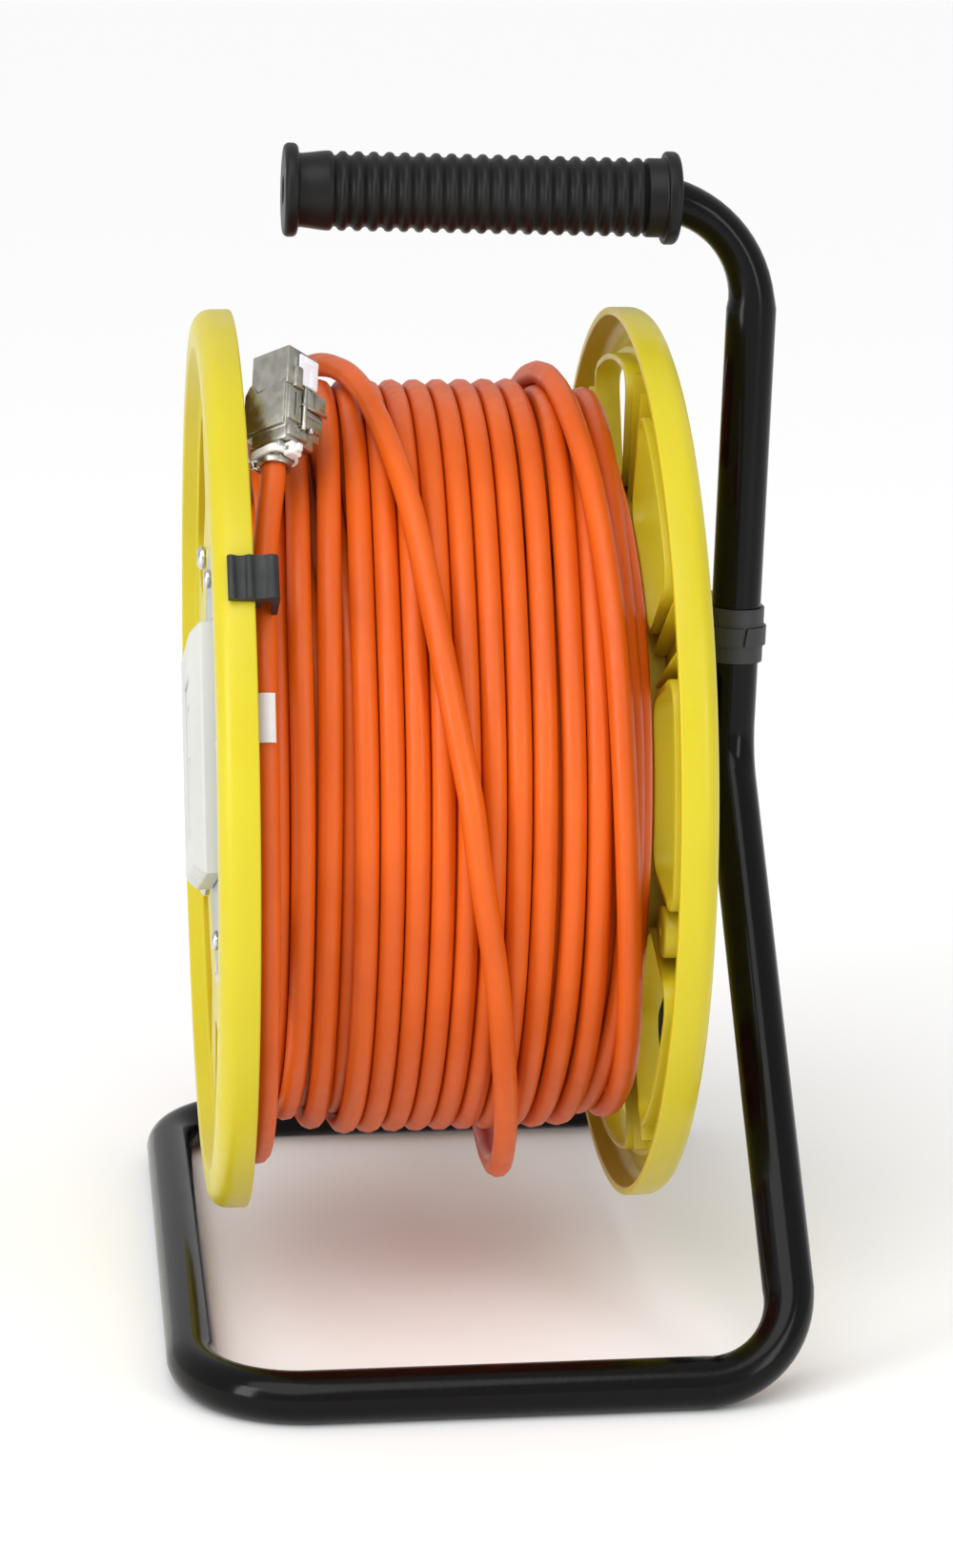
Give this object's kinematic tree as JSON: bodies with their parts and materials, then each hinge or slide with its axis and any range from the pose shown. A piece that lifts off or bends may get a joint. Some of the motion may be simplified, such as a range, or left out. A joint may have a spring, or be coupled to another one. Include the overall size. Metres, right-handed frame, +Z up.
{
  "type": "data cable reel",
  "caption": "Portable data cable reel: bent steel tube frame with handle, yellow drum of orange network cable, flush data outlet in the flange, keystone jack on the free end.",
  "frame": {"origin": "centre of the base loop's footprint box, on the ground", "axes": "+Z up, +X along the drum's axle from the outlet side towards the legs, +Y away from the side where the free cable end is clipped"},
  "size_m": [0.2013, 0.2928, 0.3722],
  "materials": {
    "frame_black": "gloss black powder coat",
    "grip_rubber": "satin black moulded rubber",
    "collar_plastic": "matte black plastic",
    "flange_yellow": "satin lemon yellow moulding",
    "core_yellow": "moulded yellow plastic",
    "cable_orange": "matte orange sheath",
    "clip_charcoal": "charcoal moulded plastic",
    "outlet_grey": "light grey moulding",
    "disc_grey": "mid grey moulding",
    "label_white": "blank white film",
    "keystone_metal": "nickel-plated zinc die casting",
    "insert_white": "white moulding",
    "bare_steel": "bright steel",
    "zinc_screw": "zinc plated",
    "bush_nylon": "natural nylon"
  },
  "bodies": {
    "frame": {"frame_tube": "frame_black", "handle_grip": "grip_rubber", "leg_collar": "collar_plastic", "collar_band": "collar_plastic", "axle_plate": "frame_black", "axle": "bare_steel", "hub_spacer": "bush_nylon", "axle_washer": "zinc_screw", "axle_bolt": "zinc_screw"},
    "drum": {"left_flange": "flange_yellow", "right_flange": "flange_yellow", "drum_core": "core_yellow", "hub_sleeve": "core_yellow", "bush_left": "bush_nylon", "bush_right": "bush_nylon", "left_flange_screw_1": "zinc_screw", "left_flange_screw_2": "zinc_screw", "left_flange_screw_3": "zinc_screw", "left_flange_screw_4": "zinc_screw", "right_flange_screw_1": "zinc_screw", "right_flange_screw_2": "zinc_screw", "right_flange_screw_3": "zinc_screw", "right_flange_screw_4": "zinc_screw", "hub_screw_1": "zinc_screw", "hub_screw_2": "zinc_screw", "hub_screw_3": "zinc_screw", "hub_screw_4": "zinc_screw", "disc_screw_1": "zinc_screw", "disc_screw_2": "zinc_screw", "disc_screw_3": "zinc_screw", "disc_screw_4": "zinc_screw", "cable_clip": "clip_charcoal", "outlet_disc": "disc_grey", "outlet_carrier": "bare_steel", "outlet_frame": "outlet_grey", "outlet_plate": "outlet_grey", "label_window": "label_white", "outlet_jack_a": "keystone_metal", "outlet_jack_b": "keystone_metal", "carrier_screw_a": "zinc_screw", "carrier_screw_b": "zinc_screw", "outlet_lead": "cable_orange", "cable_winding": "cable_orange", "cable_tail": "cable_orange", "cable_label": "label_white", "keystone_body": "keystone_metal", "keystone_cap": "keystone_metal", "keystone_latch": "insert_white"},
    "shutter_a": {"shutter_a": "outlet_grey"},
    "shutter_b": {"shutter_b": "outlet_grey"}
  },
  "joints": [
    {"name": "drum_spin", "type": "hinge", "parent": "frame", "child": "drum", "pos_m": [0, 0, 0.17384], "axis": [1, 0, 0], "continuous": true},
    {"name": "shutter_a_slide", "type": "slide", "parent": "drum", "child": "shutter_a", "axis": [0, 0.309, 0.9511], "range_m": [0, 0.0096], "stiffness_N_per_m": 60, "springref_m": -0.004},
    {"name": "shutter_b_slide", "type": "slide", "parent": "drum", "child": "shutter_b", "axis": [0, 0.309, 0.9511], "range_m": [0, 0.0096], "stiffness_N_per_m": 60, "springref_m": -0.004}
  ]
}
